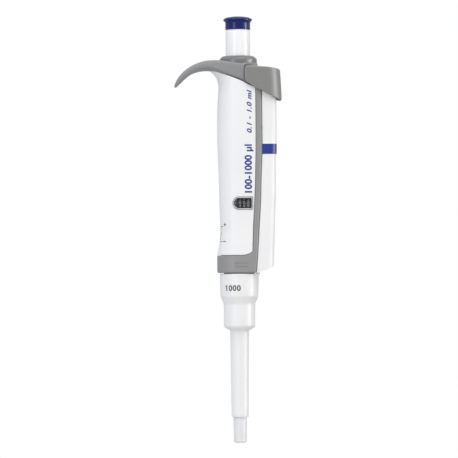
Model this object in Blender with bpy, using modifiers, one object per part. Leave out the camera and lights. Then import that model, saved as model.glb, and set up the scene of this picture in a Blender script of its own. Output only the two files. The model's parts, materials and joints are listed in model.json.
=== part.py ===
"""Adjustable single-channel micropipette, 100 to 1000 microlitres.

All drawing numbers are millimetres in the pipette's own axes: the plunger axis is X = Y = 0, Z is up from the
end of the tip cone, the finger rest points to -X, the ejector to +X and the display looks along -Y. One parent
empty moves the whole pipette so that the world origin is the seat under the finger rest, where a stand holds it.
"""

import math

import bmesh
import bpy
from mathutils import Matrix, Vector

MM = 0.001

# Driving dimensions, mm
SEAT_X, SEAT_Z = -20.0, 213.7  # middle of the hanging seat under the finger rest
GAP = 0.3  # between neighbouring pieces
BUTTON_R, BUTTON_LIP_R, BUTTON_SLEEVE_R = 7.15, 8.1, 6.95
BUTTON_TOP, BUTTON_SKIRT, COLLAR_TOP = 245.0, 237.5, 222.2
COLLAR_R = 10.55
PISTON_R, BORE_R = 4.85, 5.05
STROKE, MEASURING_STROKE = 15.0, 12.7
LEAD = 1.27  # of the volume spindle, per turn
NUT_TRAVEL = 9 * LEAD
EJECT_TRAVEL = 8.0
COUNTER_Y, COUNTER_Z, WHEEL_R, WHEEL_PITCH = -6.1, 137.6, 3.5, 2.4
RELAY_Z = 140.4
TRANSFER_R, TRANSFER_ANGLE = 4.7, math.radians(115)
WALL = 1.2  # of the front shell
HANDLE_BOTTOM, BAND_TOP = 97.5, 108.4
SLEEVE_A_R, SLEEVE_B_R, TUBE_R = 11.2, 9.05, 5.4
SPRING_SEAT = 86.0
PLATE_Z = 110.4  # underside of the piston plate at rest
HEX_R, HEX_BORE_R = 1.9, 2.2  # lifting rod and its sockets, across corners / 2

# Side outlines as (z, x) pairs, read along the height
SHELL_LEFT = [(108.7, -12.5), (110.7, -12.0), (113.5, -11.45), (116.4, -11.1), (122.2, -10.75), (133.7, -11.1),
              (150.9, -11.45), (173.9, -12.15), (191.2, -12.05), (202.0, -11.4), (205.6, -11.35), (208.5, -12.0),
              (211.0, -13.3), (213.4, -16.0)]
SHELL_DEPTH = [(97.0, 11.7), (108.7, 11.6), (122.2, 10.8), (133.7, 11.0), (150.9, 11.3), (173.9, 11.7), (191.2, 11.7),
               (205.6, 11.4), (214.0, 11.4)]
STRIP_LEFT = [(97.0, 7.1), (110.0, 7.5), (116.4, 7.7), (128.0, 8.2), (139.0, 8.8), (151.0, 9.35), (175.0, 9.7),
              (216.0, 9.7)]
STRIP_RIGHT = [(97.0, 9.2), (103.8, 9.8), (116.4, 10.7), (128.0, 11.4), (139.0, 12.1), (151.0, 12.4), (168.0, 13.0),
               (216.0, 12.9)]
ARM_RIGHT = [(97.0, 19.8), (103.8, 20.0), (122.0, 20.5), (140.0, 21.1), (160.0, 21.2), (168.0, 21.7), (197.0, 21.7),
             (216.0, 21.7)]


def along(table, z):
    """The value of a (z, value) table at height z, on straight lines between its rows."""
    for (z0, v0), (z1, v1) in zip(table, table[1:]):
        if z <= z1:
            return v0 + (v1 - v0) * max(0.0, (z - z0) / (z1 - z0))
    return table[-1][1]


for old in list(bpy.data.objects):
    bpy.data.objects.remove(old, do_unlink=True)

scene = bpy.context.scene
PARTS = bpy.data.collections.new("micropipette")
CUTTERS = bpy.data.collections.new("cutters")
scene.collection.children.link(PARTS)
scene.collection.children.link(CUTTERS)
CUTTERS.hide_render = True

frame = bpy.data.objects.new("hanging_frame", None)
frame.location = (-SEAT_X * MM, 0, -SEAT_Z * MM)
PARTS.objects.link(frame)


def material(name, colour, roughness, metallic=0.0):
    mat = bpy.data.materials.new(name)
    mat.use_nodes = True
    shader = mat.node_tree.nodes["Principled BSDF"]
    shader.inputs["Base Color"].default_value = (*colour, 1)
    shader.inputs["Roughness"].default_value = roughness
    shader.inputs["Metallic"].default_value = metallic
    return mat


def finish(obj, look=None, smooth=True):
    """Files an object under the parts (with its own material) or, without a look, under the cutters."""
    if smooth:
        obj.data.shade_smooth()
        obj.data.set_sharp_from_angle(angle=math.radians(35))
    if look:
        obj.data.materials.append(material(obj.name + "_material", *look))
        PARTS.objects.link(obj)
        obj.parent = frame
    else:
        CUTTERS.objects.link(obj)
        obj.parent = frame
        obj.hide_render = True
        obj.display_type = "WIRE"
    return obj


def from_bmesh(name, bm, look, at=(0, 0, 0), smooth=True):
    mesh = bpy.data.meshes.new(name)
    bmesh.ops.recalc_face_normals(bm, faces=bm.faces)
    bm.to_mesh(mesh)
    bm.free()
    obj = bpy.data.objects.new(name, mesh)
    obj.location = Vector(at) * MM
    return finish(obj, look, smooth)


def turned(name, profile, look, at=(0, 0, 0), steps=24):
    """A profile of (r, z) points turned about Z by a Screw modifier, always run top to bottom on its outer side."""
    area = sum(a[0] * b[1] - b[0] * a[1] for a, b in zip(profile, profile[1:] + profile[:1]))
    points = profile if area < 0 else profile[::-1]
    closed = all(r > 0 for r, _ in points)
    if not closed:  # start on the axis, at the top
        start = max((i for i, p in enumerate(points) if p[0] == 0), key=lambda i: points[i][1])
        points = points[start:] + points[:start]
    mesh = bpy.data.meshes.new(name)
    edges = [(i, i + 1) for i in range(len(points) - 1)] + ([(len(points) - 1, 0)] if closed else [])
    mesh.from_pydata([(r * MM, 0, z * MM) for r, z in points], edges, [])
    obj = bpy.data.objects.new(name, mesh)
    obj.location = Vector(at) * MM
    screw = obj.modifiers.new("turn", "SCREW")
    screw.steps = screw.render_steps = steps
    screw.use_merge_vertices = True
    screw.merge_threshold = 1e-6
    screw.use_smooth_shade = True
    return finish(obj, look, smooth=False)


def outline(name, loops, low, high, look, turn="Z", at=(0, 0, 0), smooth=True):
    """A flat outline (first loop) with holes (other loops), extruded from low to high along the axis `turn`.

    On Z a loop is (x, y), on Y it is (x, z), on X it is (y, z).
    """
    data = bpy.data.curves.new(name, "CURVE")
    data.dimensions = "2D"
    data.fill_mode = "BOTH"
    data.extrude = (high - low) / 2 * MM
    for loop in loops:
        spline = data.splines.new("POLY")
        spline.points.add(len(loop) - 1)
        for point, (u, v) in zip(spline.points, loop):
            point.co = (u * MM, v * MM, 0, 1)
        spline.use_cyclic_u = True
    curve = bpy.data.objects.new(name + "_curve", data)
    scene.collection.objects.link(curve)
    graph = bpy.context.evaluated_depsgraph_get()
    mesh = bpy.data.meshes.new_from_object(curve.evaluated_get(graph))
    bpy.data.objects.remove(curve)
    middle = (low + high) / 2 * MM
    turned_to = {
        "Z": Matrix.Translation((0, 0, middle)),
        "Y": Matrix.Translation((0, middle, 0)) @ Matrix.Rotation(math.pi / 2, 4, "X"),
        "X": Matrix.Translation((middle, 0, 0)) @ Matrix(((0, 0, 1, 0), (1, 0, 0, 0), (0, 1, 0, 0), (0, 0, 0, 1))),
    }[turn]
    mesh.transform(turned_to)
    bm = bmesh.new()
    bm.from_mesh(mesh)
    bmesh.ops.remove_doubles(bm, verts=bm.verts, dist=1e-6)
    bpy.data.meshes.remove(mesh)
    return from_bmesh(name, bm, look, at, smooth)


def box(name, low, high, look=None, at=(0, 0, 0)):
    bm = bmesh.new()
    bmesh.ops.create_cube(bm, size=1.0)
    size = Vector(high) - Vector(low)
    middle = (Vector(high) + Vector(low)) / 2
    bmesh.ops.transform(bm, matrix=Matrix.Translation(middle * MM) @ Matrix.Diagonal((*(size * MM), 1)), verts=bm.verts)
    return from_bmesh(name, bm, look, at, smooth=False)


def rod(name, radius, low, high, look=None, at=(0, 0, 0), axis="Z", sides=24, spin=0.0):
    """A cylinder, or a prism with few sides, from low to high along its axis."""
    bm = bmesh.new()
    bmesh.ops.create_cone(bm, cap_ends=True, segments=sides, radius1=radius * MM, radius2=radius * MM,
                          depth=(high - low) * MM)
    turn = {"Z": Matrix.Identity(4), "X": Matrix.Rotation(math.pi / 2, 4, "Y"),
            "Y": Matrix.Rotation(math.pi / 2, 4, "X")}[axis]
    shift = {"Z": (0, 0, 1), "X": (1, 0, 0), "Y": (0, 1, 0)}[axis]
    move = Matrix.Translation(Vector(shift) * (low + high) / 2 * MM)
    bmesh.ops.transform(bm, matrix=move @ turn @ Matrix.Rotation(spin, 4, "Z"), verts=bm.verts)
    return from_bmesh(name, bm, look, at)


def loft(name, rings, look, smooth=True):
    """A closed body through rings that hold the same number of (x, y, z) points."""
    bm = bmesh.new()
    rows = [[bm.verts.new(Vector(p) * MM) for p in ring] for ring in rings]
    for low, high in zip(rows, rows[1:]):
        for i in range(len(low)):
            j = (i + 1) % len(low)
            bm.faces.new((low[i], low[j], high[j], high[i]))
    bm.faces.new(rows[0][::-1])
    bm.faces.new(rows[-1])
    return from_bmesh(name, bm, look, smooth=smooth)


def coil(name, radius, wire, low, high, turns, look, at=(0, 0, 0), points=8):
    """A round-wire compression spring whose wire centre line starts at low and ends at high."""
    data = bpy.data.curves.new(name, "CURVE")
    data.dimensions = "3D"
    data.bevel_depth = wire / 2 * MM
    data.bevel_resolution = 2
    data.use_fill_caps = True
    spline = data.splines.new("POLY")
    count = int(turns * points)
    spline.points.add(count)
    for i, point in enumerate(spline.points):
        angle = 2 * math.pi * turns * i / count
        z = low + wire / 2 + (high - low - wire) * i / count
        point.co = (radius * math.cos(angle) * MM, radius * math.sin(angle) * MM, z * MM, 1)
    obj = bpy.data.objects.new(name, data)
    obj.location = Vector(at) * MM
    data.materials.append(material(name + "_material", *look))
    PARTS.objects.link(obj)
    obj.parent = frame
    return obj


def combine(obj, other, how="DIFFERENCE"):
    mod = obj.modifiers.new(f"{how.lower()}_{other.name}", "BOOLEAN")
    mod.operation = how
    mod.object = other
    return obj


def arc(cx, cy, r, start, end, count):
    angles = [math.radians(start + (end - start) * i / count) for i in range(count + 1)]
    return [(cx + r * math.cos(a), cy + r * math.sin(a)) for a in angles]


def gear(teeth, root, tip, root_width, tip_width, phase=0.0):
    """Outline of a spur gear: straight-sided teeth of the given widths at the root and the tip circle."""
    points = []
    for i in range(teeth):
        a = 2 * math.pi * (i + phase) / teeth
        for r, d in ((root, -root_width / 2 / root), (tip, -tip_width / 2 / tip),
                     (tip, tip_width / 2 / tip), (root, root_width / 2 / root)):
            points.append((r * math.cos(a + d), r * math.sin(a + d)))
    return points


WHITE = ((0.86, 0.87, 0.88), 0.35)
GREY = ((0.27, 0.27, 0.28), 0.42)
HOOD_GREY = ((0.22, 0.22, 0.22), 0.40)
BLUE = ((0.022, 0.028, 0.22), 0.30)
CLOUDY = ((0.72, 0.75, 0.78), 0.30)
STEEL = ((0.62, 0.63, 0.64), 0.25, 1.0)
SPRING = ((0.50, 0.51, 0.53), 0.30, 1.0)
BRASS = ((0.78, 0.62, 0.33), 0.30, 1.0)
ACETAL = ((0.80, 0.80, 0.76), 0.45)
DARK = ((0.05, 0.05, 0.055), 0.45)
RUBBER = ((0.03, 0.03, 0.03), 0.75)
CLEAR = ((0.85, 0.88, 0.90), 0.06)
CERAMIC = ((0.84, 0.84, 0.82), 0.20)


# ---------------------------------------------------------------- handle

def shell_ring(z, top_tilt=0.0):
    """A C-shaped section of the front shell: round toward -X, open toward the rear frame."""
    left, depth, right = along(SHELL_LEFT, z), along(SHELL_DEPTH, z), along(STRIP_LEFT, z) - GAP
    ring = []
    for cut, flip in ((0.0, 1), (WALL, -1)):
        half = [(right, (depth - cut) * 0.965), (right * 0.5, (depth - cut) * 0.99)]
        half += [((left + cut) * math.sin(math.radians(a)), (depth - cut) * math.cos(math.radians(a)))
                 for a in (0, 15, 30, 44, 56, 68, 79)]
        side = [(x, -y) for x, y in half] + [(left + cut, 0.0)] + half[::-1]
        ring += side[::flip]
    return [(x, y, z) for x, y in ring]


heights = [108.7, 109.6, 110.7, 113.5, 116.4, 122.2, 133.7, 150.9, 173.9, 191.2, 202.0, 205.6, 208.5, 211.0, 213.4]
front_shell = loft("front_shell", [shell_ring(z) for z in heights], WHITE)

rest_under = [(-14.9, 213.6), (-9.1, 211.9), (-4.5, 210.2), (1.2, 207.9), (4.7, 206.1), (7.0, 205.0), (9.3, 204.2)]
above_shell = [(-20, 214.0)] + [(x, z - GAP) for x, z in rest_under] + [(14, 202.0), (14, 222), (-20, 222)]
combine(front_shell, outline("shell_top_cutter", [above_shell], -16, 16, None, "Y"))

window_z, window_half = 137.55, 4.1
window_right, window_left = 7.9, -3.9


def window_loop(grow):
    """The display window: a half-round end toward -X and a straight end toward the ejector."""
    r = window_half + grow
    centre = window_left + window_half
    half_round = arc(centre, window_z, r, 90, 270, 14)
    return half_round + [(window_right + grow, window_z - r), (window_right + grow, window_z + r)]


combine(front_shell, outline("window_cutter", [window_loop(0.2)], -14, -7, None, "Y"))
window_bezel = outline("window_bezel", [window_loop(0.0), window_loop(-0.9)], -11.35, -9.95, CLOUDY, "Y")
display_lens = outline("display_lens", [window_loop(-1.15)], -11.1, -10.3, CLEAR, "Y")


def channel_ring(z, left_table, right_table, depth, wall, corner, gap=0.0, tilt=0.0):
    """A U-shaped section, open toward -X, with rounded rear corners; tilt raises each point with its x."""
    left, right = along(left_table, z) + gap, along(right_table, z)
    ring = []
    for cut, flip in ((0.0, 1), (wall, -1)):
        r = corner - cut * 0.6
        x, y = right - cut, depth - cut
        quarter = [(x - r + px, y - r + py) for px, py in arc(0, 0, r, 90, 0, 6)]
        side = [(left, -y)] + [(px, -py) for px, py in quarter] + quarter[::-1] + [(left, y)]
        ring += side[::flip]
    return [(px, py, z + tilt * (px - 9.6)) for px, py in ring]


strip_heights = [100.0, 103.8, 110.0, 116.4, 128.0, 139.0, 151.0, 168.0, 175.0, 204.0]
handle_frame = loft("handle_frame", [channel_ring(z, STRIP_LEFT, STRIP_RIGHT, 10.7, 1.5, 1.8) for z in strip_heights],
                    GREY)


def band_ring(z, grow):
    """The closed oval section of the lower band."""
    ring = []
    for i in range(40):
        a = 2 * math.pi * i / 40
        reach = 12.7 if math.cos(a) < 0 else 10.7 + 0.09 * (z - HANDLE_BOTTOM)
        ring.append(((reach + grow) * math.cos(a), (11.8 + grow) * math.sin(a), z))
    return ring


band = loft("band_body", [band_ring(HANDLE_BOTTOM, -0.9), band_ring(HANDLE_BOTTOM + 0.35, -0.25),
                          band_ring(HANDLE_BOTTOM + 1.1, 0), band_ring(BAND_TOP, 0)], None)
combine(handle_frame, band, "UNION")
combine(handle_frame, box("spring_lug", (12.0, -2.6, 180.0), (19.6, 2.6, 182.0)), "UNION")
combine(handle_frame, rod("band_bore_cutter", 9.15, 90, 120, sides=32))
combine(handle_frame, rod("lug_bore_cutter", 1.5, 170, 190, at=(17, 0, 0)))

# Finger rest: a side outline cut to a plan outline, bored for the button guide
rest_side = [(-10.3, 219.3), (-16.1, 219.7), (-21.8, 218.7), (-27.5, 216.4), (-32.1, 213.0), (-35.0, 209.6),
             (-36.4, 206.3), (-36.7, 204.8), (-36.2, 204.1), (-35.4, 204.3), (-33.2, 206.7), (-29.8, 209.9),
             (-26.6, 212.2), (-24.2, SEAT_Z), (-15.8, SEAT_Z)] + rest_under[1:] + \
            [(9.3, 206.0), (10.9, 206.0), (10.9, 218.6), (5.0, 219.3)]
finger_rest = outline("finger_rest", [rest_side], -12, 12, GREY, "Y")
plan_half = [(11.0, 10.6), (9.0, 11.35), (0.0, 11.5), (-5.5, 11.3), (-9.0, 10.9), (-14.0, 10.0), (-20.0, 9.2),
             (-28.0, 8.6), (-33.0, 7.9), (-35.6, 6.6), (-36.8, 4.2)]
plan = [(x, -y) for x, y in plan_half] + plan_half[::-1]
combine(finger_rest, outline("rest_plan", [plan], 200, 222, None), "INTERSECT")
combine(finger_rest, rod("collar_recess_cutter", COLLAR_R + GAP, 217.0, 225, sides=36))
combine(finger_rest, rod("guide_bore_cutter", 8.95, 190, 225, sides=36))

top_collar = turned("top_collar", [(7.55, 222.0), (8.2, COLLAR_TOP), (9.3, 221.9), (10.15, 221.0), (COLLAR_R, 219.7),
                                   (10.35, 218.2), (9.6, 217.3), (7.45, 217.3), (7.45, 221.6)], GREY, steps=36)
guide_bush = turned("guide_bush", [(7.2, 216.7), (8.7, 216.7), (8.7, 204.8), (7.2, 204.8)], ACETAL)

# ---------------------------------------------------------------- control button, turned and pressed

control_button_cap = turned("control_button_cap", [
    (0, BUTTON_TOP), (3.5, 244.85), (6.2, 244.45), (7.7, 243.9), (BUTTON_LIP_R, 243.3), (BUTTON_LIP_R, 242.6),
    (7.8, 242.1), (BUTTON_R, 241.9), (BUTTON_R, BUTTON_SKIRT), (6.25, BUTTON_SKIRT), (6.25, 241.0), (0, 241.0)],
    BLUE, steps=36)
control_button_sleeve = turned("control_button_sleeve", [
    (2.3, 240.7), (5.9, 240.7), (5.9, 237.2), (BUTTON_SLEEVE_R, 237.2), (BUTTON_SLEEVE_R, 206.0), (5.4, 206.0),
    (5.4, 234.0), (2.3, 234.0)], CLOUDY, steps=36)
lifting_rod = rod("lifting_rod", HEX_R, 112.3, 240.4, STEEL, sides=6)

# ---------------------------------------------------------------- volume spindle, stop nut and cage

threads = [(3.25, 130.4)]
z = 129.6
while z > 114.6:
    threads += [(3.25, z), (3.75, z - LEAD / 2)]
    z -= LEAD
spindle = turned("volume_spindle", [(0, 131.6), (5.6, 131.6), (5.6, 130.4)] + threads +
                 [(3.25, 114.0), (2.9, 113.4), (0, 113.4)], BRASS, steps=12)
# the hexagonal socket lets the lifting rod slide through and turn the spindle
combine(spindle, rod("spindle_hex_cutter", HEX_BORE_R, 110, 135, sides=6))

stop_nut = turned("stop_nut", [(4.0, 129.9), (8.0, 129.9), (8.0, 112.3), (7.5, 112.3), (7.5, 126.3), (4.0, 126.3)],
                  BRASS)
combine(stop_nut, box("nut_key_a", (-0.7, 7.7, 126.3), (0.7, 8.65, 129.9)), "UNION")
combine(stop_nut, box("nut_key_b", (-0.7, -8.65, 126.3), (0.7, -7.7, 129.9)), "UNION")

inner_cage = turned("inner_cage", [(2.5, 132.8), (8.8, 132.8), (8.8, 101.0), (9.05, 101.0), (9.05, 99.0), (8.8, 99.0),
                                   (8.8, 86.3), (8.15, 86.3), (8.15, 131.9), (2.5, 131.9)], DARK)
combine(inner_cage, box("cage_slot_cutter", (-0.95, -9.6, 113.6), (0.95, 9.6, 131.0)))

# ---------------------------------------------------------------- counter

drive_gear = turned("drive_gear", [(0, 146.6), (3.1, 146.6), (3.1, 143.1), (6.3, 143.1), (6.3, 141.4), (4.4, 141.4),
                                   (4.4, 142.1), (0, 142.1)], BRASS, steps=24)
combine(drive_gear, rod("drive_hex_cutter", HEX_BORE_R, 140, 148, sides=6))
CROWN_TEETH = 24
bm = bmesh.new()
for i in range(CROWN_TEETH):
    made = bmesh.ops.create_cube(bm, size=1.0)["verts"]
    for v in made:  # a slot widens outwards, so the tooth between two slots keeps its width
        outer = v.co.x > 0
        v.co = Vector(((6.9 if outer else 4.0), v.co.y * (1.28 if outer else 0.56), 141.6 + v.co.z)) * MM
    turn = Matrix.Rotation(2 * math.pi * (i + 0.5) / CROWN_TEETH, 4, "Z")
    bmesh.ops.transform(bm, matrix=turn, verts=made)
combine(drive_gear, from_bmesh("crown_slots_cutter", bm, None, smooth=False))

relay = outline("relay_gear", [gear(20, 3.3, 3.98, 0.5, 0.28, 0.98)], 6.75, 7.75, ACETAL, "X", at=(0, 0, RELAY_Z))
combine(relay, outline("relay_pinion", [gear(6, 0.86, 1.62, 0.60, 0.34, 0.0)], 4.5, 6.15, None, "X",
                       at=(0, 0, RELAY_Z)), "UNION")
combine(relay, rod("relay_axle", 0.5, 4.2, 9.0, None, at=(0, 0, RELAY_Z), axis="X", sides=10), "UNION")

axle_at = (0, COUNTER_Y, COUNTER_Z)
names = ["thousands", "hundreds", "tens", "units"]
for i, name in enumerate(names):
    x = -2.95 + WHEEL_PITCH * i
    wheel = rod(f"wheel_{name}", WHEEL_R, x, x + 1.7, WHITE, at=axle_at, axis="X", sides=24)
    teeth = outline(f"ring_{name}", [gear(20, 2.95, 3.42, 0.50, 0.26)], x + 1.5, x + 2.2, None, "X", at=axle_at)
    combine(wheel, teeth, "UNION")
    if name == "units":
        hub = outline("ring_drive", [gear(16, 2.55, 3.22, 0.5, 0.28)], x + 2.1, 7.75, None, "X", at=axle_at)
        combine(wheel, hub, "UNION")
    combine(wheel, rod(f"bore_{name}_cutter", 0.7, x - 1, 9.5, at=axle_at, axis="X", sides=10))

counter_shaft = rod("counter_shaft", 0.5, -4.4, 9.0, STEEL, at=axle_at, axis="X", sides=12)
transfer_at = (0, COUNTER_Y + TRANSFER_R * math.cos(TRANSFER_ANGLE),
               COUNTER_Z + TRANSFER_R * math.sin(TRANSFER_ANGLE))
transfer_shaft = rod("transfer_shaft", 0.35, -4.4, 9.0, STEEL, at=transfer_at, axis="X", sides=12)
for i, name in enumerate(names[:3]):
    x = -2.95 + WHEEL_PITCH * i
    outer = gear(8, 0.82, 1.38, 0.42, 0.22, 0.28)
    bore = arc(0, 0, 0.5, 0, 315, 7)
    outline(f"transfer_pinion_{name}", [outer, bore], x + 1.8, x + 2.2, ACETAL, "X", at=transfer_at)

bracket = box("counter_bracket", (-4.5, -8.0, 133.1), (9.1, 3.6, 133.8), DARK)
combine(bracket, box("bracket_left", (-4.5, -8.6, 133.1), (-3.5, 3.6, 145.8)), "UNION")
combine(bracket, box("bracket_right", (8.1, -8.6, 133.1), (9.1, 3.6, 145.8)), "UNION")
combine(bracket, box("bracket_top", (-4.5, -4.4, 144.9), (9.1, 4.4, 145.8)), "UNION")
combine(bracket, rod("bracket_rod_cutter", 2.4, 130, 140, sides=24))
combine(bracket, rod("bracket_hub_cutter", 3.4, 140, 150, sides=24))
combine(bracket, rod("bracket_gear_cutter", 6.7, 141.0, 144.2, sides=32))
combine(bracket, rod("bracket_shaft_cutter", 0.62, -6, 11, at=axle_at, axis="X", sides=12))
combine(bracket, rod("bracket_transfer_cutter", 0.45, -6, 11, at=transfer_at, axis="X", sides=12))
combine(bracket, rod("bracket_relay_cutter", 0.62, 7, 11, at=(0, 0, RELAY_Z), axis="X", sides=12))

# ---------------------------------------------------------------- piston, springs and cylinder

piston_plate = turned("piston_plate", [(3.0, 112.0), (7.3, 112.0), (7.3, PLATE_Z), (3.0, PLATE_Z)], STEEL)
piston = turned("piston", [(0, 111.7), (2.7, 111.7), (2.7, 110.1), (PISTON_R, 110.1), (PISTON_R, 87.0), (3.9, 87.0),
                           (3.9, 85.2), (PISTON_R, 85.2), (PISTON_R, 84.4), (4.4, 84.0), (0, 84.0)], CERAMIC)
piston_seal = turned("piston_seal", [(4.1, 86.8), (4.98, 86.8), (4.98, 85.4), (4.1, 85.4)], RUBBER)
return_spring = coil("return_spring", 6.25, 0.5, SPRING_SEAT + GAP, PLATE_Z - GAP, 6, SPRING, points=9)
blowout_ring = turned("blowout_ring", [(6.65, 97.4), (7.9, 97.4), (7.9, 95.9), (6.65, 95.9)], STEEL)
blowout_spring = coil("blowout_spring", 7.45, 0.8, SPRING_SEAT + GAP, 95.6, 3.5, SPRING)

cylinder = turned("cylinder", [
    (5.55, 92.0), (5.55, SPRING_SEAT), (8.6, SPRING_SEAT), (8.6, 84.1), (5.8, 84.1), (5.8, 68.6), (3.9, 65.4),
    (3.9, 35.4), (3.6, 35.1), (3.6, 30.0), (1.5, 30.0), (1.5, 67.4), (BORE_R, 68.2), (BORE_R, 92.0)], ACETAL)
mounting_nut = turned("mounting_nut", [(9.1, 92.0), (9.8, 92.0), (9.8, 85.2), (9.0, 83.0), (6.2, 83.0), (6.2, 83.8),
                                       (8.8, 83.8), (9.1, 84.6)], DARK)

# ---------------------------------------------------------------- tip cone, sprung

tip_cone = turned("tip_cone", [
    (1.2, 36.0), (1.2, 23.2), (3.6, 23.2), (3.6, 21.4), (3.3, 21.4), (3.3, 17.3), (3.85, 17.1), (3.85, 14.0),
    (3.65, 1.0), (3.45, 0.25), (3.1, 0.0), (1.7, 0.0), (1.5, 1.0), (0.6, 8.0), (0.6, 36.0)], CLOUDY)
stem_seal = turned("stem_seal", [(1.25, 33.4), (1.46, 33.2), (1.46, 32.8), (1.25, 32.6)], RUBBER, steps=24)
cone_retainer = turned("cone_retainer", [(3.78, 35.0), (4.05, 35.0), (4.05, 20.0), (3.45, 20.0), (3.45, 21.0),
                                         (3.78, 21.2)], STEEL, steps=24)
cone_spring = coil("cone_spring", 2.6, 0.7, 23.5, 29.7, 3, SPRING)

# ---------------------------------------------------------------- tip ejector

hood_left, hood_right, hood_depth, hood_wall = 4.2, 24.9, 13.2, 1.1


def hood_ring(z_left, z_right, grow=0.0):
    """A closed rounded section of the ejector button, tilted so that its rear side is at z_right."""
    r = 5.6 + grow
    x, y = hood_right + grow, hood_depth + grow
    quarter = [(x - r + px, y - r + py) for px, py in arc(0, 0, r, 90, 0, 8)]
    ring = [(hood_left, -y)] + [(px, -py) for px, py in quarter] + quarter[::-1] + [(hood_left, y)]
    return [(px, py, z_left + (z_right - z_left) * (px - hood_left) / (hood_right - hood_left)) for px, py in ring]


ejector_button = loft("ejector_button", [hood_ring(205.6, 196.6), hood_ring(214.9, 211.6), hood_ring(215.9, 213.2, -0.5),
                                         hood_ring(216.5, 214.5, -1.5)], HOOD_GREY)
hollow = loft("hood_hollow", [[(p[0] + 0.001 - (p[0] < 5) * 6, p[1], z) for p in hood_ring(200, 200, -hood_wall)]
                              for z in (180, 213.0)], None)
combine(ejector_button, hollow)
combine(ejector_button, box("hood_notch_cutter", (0, -12.1, 180), (11.5, 12.1, 230)))

ARM_DEPTH, ARM_WALL = 9.8, 1.3
arm_rings = [channel_ring(98.0, STRIP_RIGHT, ARM_RIGHT, ARM_DEPTH, ARM_WALL, 5.2, 0.35, 0.42)]
arm_rings += [channel_ring(z, STRIP_RIGHT, ARM_RIGHT, ARM_DEPTH, ARM_WALL, 5.2, 0.35)
              for z in (108.0, 122.0, 140.0, 151.0, 160.0, 168.0, 197.0, 211.0)]
ejector_arm = loft("ejector_arm", arm_rings, WHITE)


def solid_ring(z, reach, depth, corner, left):
    quarter = [(reach - corner + px, depth - corner + py) for px, py in arc(0, 0, corner, 90, 0, 8)]
    ring = [(left, -depth)] + [(px, -py) for px, py in quarter] + quarter[::-1] + [(left, depth)]
    return [(px, py, z) for px, py in ring]


def u_band(name, low, high, outer, inner, left, look):
    """A U-shaped band between two rounded sections (reach, depth, corner)."""
    rings = []
    for z in (low, high):
        out_side = solid_ring(z, *outer, left)
        in_side = solid_ring(z, *inner, left)
        rings.append(out_side + in_side[::-1])
    return loft(name, rings, look)


groove = u_band("band_groove_cutter", 165.4, 171.4, (24.0, 12.0, 7.0), (21.05, ARM_DEPTH - 0.6, 4.6), 8.0, None)
combine(ejector_arm, groove)
volume_band = u_band("volume_band", 165.6, 171.2, (21.85, ARM_DEPTH + 0.1, 5.3), (21.25, ARM_DEPTH - 0.42, 4.8), 13.4,
                     BLUE)

ejector_sleeve = turned("ejector_sleeve", [
    (SLEEVE_A_R, 97.1), (10.85, 84.0), (9.3, 80.1), (SLEEVE_B_R, 79.5), (SLEEVE_B_R, 66.8),
    (TUBE_R + 0.1, 64.5), (TUBE_R, 64.0), (4.9, 15.6), (4.5, 14.7), (4.1, 14.8),
    (4.35, 34.0), (4.6, 64.7), (8.2, 67.3), (8.2, 80.2), (9.6, 83.0), (10.2, 85.0), (10.3, 97.1)],
    WHITE, steps=36)
tab = box("sleeve_tab", (11.75, -4.0, 96.0), (12.75, 4.0, 104.0))
foot = box("sleeve_foot", (10.6, -4.0, 95.9), (12.75, 4.0, 97.1))
combine(ejector_sleeve, tab, "UNION")
combine(ejector_sleeve, foot, "UNION")
ejector_rod = turned("ejector_rod", [(0, 212.7), (2.8, 212.7), (2.8, 205.4), (1.2, 205.4), (1.2, 166.0), (0, 165.4)],
                     STEEL, at=(17, 0, 0), steps=20)
ejector_spring = coil("ejector_spring", 2.1, 0.6, 182.3, 205.1, 6, SPRING, at=(17, 0, 0))
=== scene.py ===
"""Adjustable micropipette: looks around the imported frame.

Lengths in the shape tables are millimetres in the pipette's own axes: plunger axis at X = Y = 0, Z up from the end
of the tip cone. Their place in the frame is read from the CAD nodes' boxes.
"""
import json
import math

import bmesh
import bpy
from mathutils import Matrix, Vector

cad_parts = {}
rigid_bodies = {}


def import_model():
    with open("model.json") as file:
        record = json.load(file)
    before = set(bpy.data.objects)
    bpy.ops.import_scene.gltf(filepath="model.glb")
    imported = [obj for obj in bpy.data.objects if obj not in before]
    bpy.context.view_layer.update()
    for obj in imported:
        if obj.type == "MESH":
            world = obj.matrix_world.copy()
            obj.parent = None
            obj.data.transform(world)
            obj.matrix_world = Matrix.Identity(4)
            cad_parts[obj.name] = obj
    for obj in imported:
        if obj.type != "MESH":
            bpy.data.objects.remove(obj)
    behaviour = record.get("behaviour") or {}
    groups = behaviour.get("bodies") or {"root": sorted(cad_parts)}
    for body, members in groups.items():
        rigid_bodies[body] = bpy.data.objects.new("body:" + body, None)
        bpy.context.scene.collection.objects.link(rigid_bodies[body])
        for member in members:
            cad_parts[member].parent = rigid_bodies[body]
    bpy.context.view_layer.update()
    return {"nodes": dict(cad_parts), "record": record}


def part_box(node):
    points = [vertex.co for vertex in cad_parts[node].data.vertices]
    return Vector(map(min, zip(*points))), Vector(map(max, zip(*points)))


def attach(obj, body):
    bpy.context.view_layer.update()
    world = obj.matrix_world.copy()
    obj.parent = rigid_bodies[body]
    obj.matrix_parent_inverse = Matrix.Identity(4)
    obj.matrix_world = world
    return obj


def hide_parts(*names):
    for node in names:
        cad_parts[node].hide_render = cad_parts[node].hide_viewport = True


for old in list(bpy.data.objects):
    bpy.data.objects.remove(old, do_unlink=True)
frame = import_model()
MM = 0.001
scene = bpy.context.scene

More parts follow.
